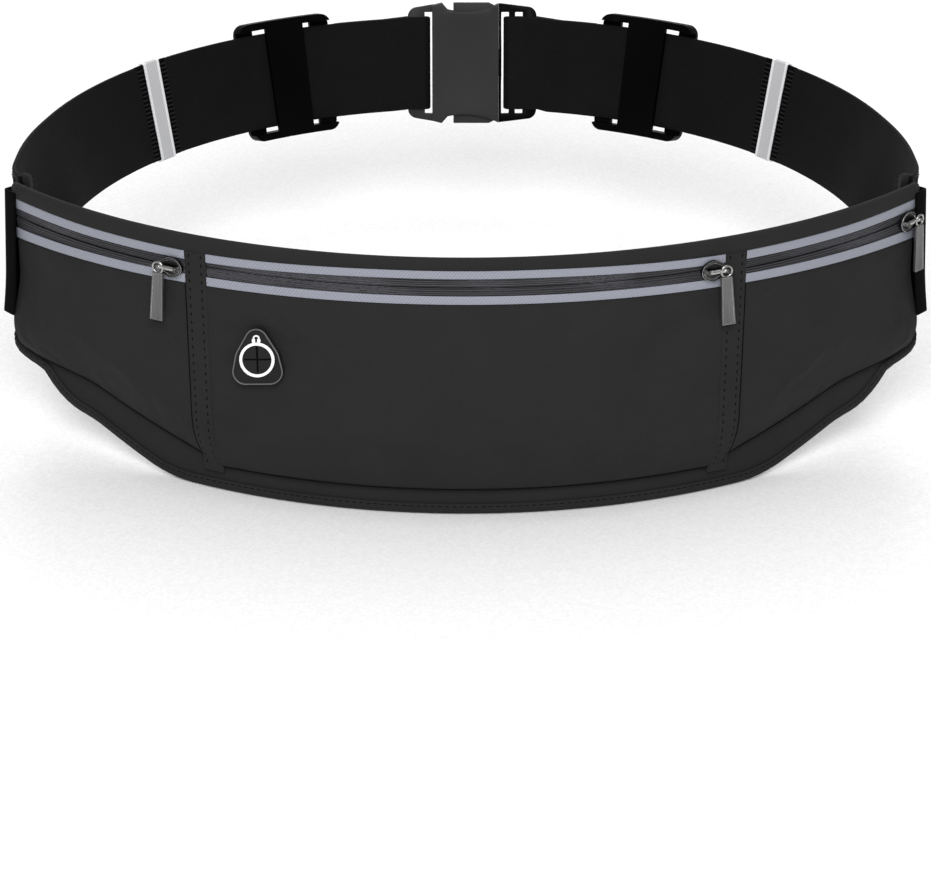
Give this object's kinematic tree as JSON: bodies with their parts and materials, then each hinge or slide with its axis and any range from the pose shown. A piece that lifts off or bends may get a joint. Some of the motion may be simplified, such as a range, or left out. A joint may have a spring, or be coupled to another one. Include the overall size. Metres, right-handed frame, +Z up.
{
  "type": "waist pack",
  "caption": "Slim running waist pack with zipped front pockets, reflective stripes, a headphone port and an elastic belt with a side-release buckle.",
  "frame": {"origin": "middle of the waist loop, at half the height of the belt webbing", "axes": "+X towards the wearer's left, along the front from the viewer's left to right; +Y from the pocket front to the buckle at the back; +Z up"},
  "size_m": [0.3392, 0.288, 0.1079],
  "materials": {
    "neoprene": "padded knit-faced foam",
    "pocket_fabric": "smooth stretch knit",
    "binding": "folded woven tape",
    "zip_tape": "coated woven tape",
    "zip_coil": "nylon coil",
    "reflective": "glass-bead reflective tape",
    "slider_metal": "gunmetal plated, satin",
    "pull_metal": "matt grey",
    "port_rubber": "matt moulded",
    "port_print": "white print",
    "webbing": "woven elastic",
    "adjuster_plastic": "satin moulded acetal",
    "buckle_plastic": "fine-textured moulded acetal"
  },
  "bodies": {
    "pack": {"back_panel": "neoprene", "top_binding": "pocket_fabric", "hem_binding": "binding", "left_pocket": "pocket_fabric", "left_zip_upper_tape": "zip_tape", "left_zip_lower_tape": "zip_tape", "left_zip_coils": "zip_coil", "left_reflective_stripes": "reflective", "centre_pocket": "pocket_fabric", "centre_zip_upper_tape": "zip_tape", "centre_zip_lower_tape": "zip_tape", "centre_zip_coils": "zip_coil", "centre_reflective_stripes": "reflective", "right_pocket": "pocket_fabric", "right_zip_upper_tape": "zip_tape", "right_zip_lower_tape": "zip_tape", "right_zip_coils": "zip_coil", "right_reflective_stripes": "reflective", "zip_stops": "slider_metal", "left_divider": "pocket_fabric", "left_end_tape": "binding", "left_strap_end": "webbing", "left_strap_side": "webbing", "left_strap_rear": "webbing", "left_strap_loop": "webbing", "left_strap_return": "webbing", "left_reflective_band": "reflective", "right_divider": "pocket_fabric", "right_end_tape": "binding", "right_strap_end": "webbing", "right_strap_side": "webbing", "port_patch": "port_rubber", "port_ring": "port_print", "buckle_socket": "buckle_plastic"},
    "left_slider": {"left_slider": "slider_metal"},
    "centre_slider": {"centre_slider": "slider_metal"},
    "right_slider": {"right_slider": "slider_metal"},
    "left_pull": {"left_pull": "pull_metal"},
    "centre_pull": {"centre_pull": "pull_metal"},
    "right_pull": {"right_pull": "pull_metal"},
    "plug_side": {"buckle_plug": "buckle_plastic", "right_strap_rear": "webbing", "right_strap_loop": "webbing", "right_strap_return": "webbing", "right_reflective_band": "reflective"},
    "left_adjuster": {"left_adjuster": "adjuster_plastic"},
    "right_adjuster": {"right_adjuster": "adjuster_plastic"},
    "upper_prong": {"upper_prong": "buckle_plastic"},
    "lower_prong": {"lower_prong": "buckle_plastic"}
  },
  "joints": [
    {"name": "left_zip_run", "type": "hinge", "parent": "pack", "child": "left_slider", "pos_m": [0, 0.083, 0], "axis": [0, 0, 1], "range_deg": [-17.6, 0]},
    {"name": "left_pull_swing", "type": "hinge", "parent": "left_slider", "child": "left_pull", "pos_m": [-0.10548, -0.12049, 0.0084], "axis": [-0.8878, 0.4602, 0], "range_deg": [0, 165]},
    {"name": "centre_zip_run", "type": "hinge", "parent": "pack", "child": "centre_slider", "pos_m": [0, 0.083, 0], "axis": [0, 0, 1], "range_deg": [-44, 0]},
    {"name": "centre_pull_swing", "type": "hinge", "parent": "centre_slider", "child": "centre_pull", "pos_m": [0.08808, -0.1286, 0.0103], "axis": [-0.9232, -0.3843, 0], "range_deg": [0, 165]},
    {"name": "right_zip_run", "type": "hinge", "parent": "pack", "child": "right_slider", "pos_m": [0, 0.083, 0], "axis": [0, 0, 1], "range_deg": [-17.6, 0]},
    {"name": "right_pull_swing", "type": "hinge", "parent": "right_slider", "child": "right_pull", "pos_m": [0.16487, -0.07622, 0.0084], "axis": [-0.6947, -0.7193, 0], "range_deg": [0, 165]},
    {"name": "buckle_release", "type": "slide", "parent": "pack", "child": "plug_side", "axis": [1, 0, 0], "range_m": [0, 0.03], "deforming": ["right_strap_side", "upper_prong", "lower_prong"]},
    {"name": "upper_prong_press", "type": "hinge", "parent": "plug_side", "child": "upper_prong", "pos_m": [0.0131, 0.1392, 0.01601], "axis": [0, -0.9703, 0.2419], "range_deg": [0, 14], "stiffness_Nm_per_rad": 0.7},
    {"name": "lower_prong_press", "type": "hinge", "parent": "plug_side", "child": "lower_prong", "pos_m": [0.0131, 0.13122, -0.01601], "axis": [0, 0.9703, -0.2419], "range_deg": [0, 14], "stiffness_Nm_per_rad": 0.7},
    {"name": "left_adjuster_run", "type": "hinge", "parent": "pack", "child": "left_adjuster", "pos_m": [0, -0.028, 0], "axis": [0, 0, 1], "range_deg": [0, 11]},
    {"name": "right_adjuster_run", "type": "hinge", "parent": "plug_side", "child": "right_adjuster", "pos_m": [0, -0.028, 0], "axis": [0, 0, 1], "range_deg": [-11, 0]}
  ]
}
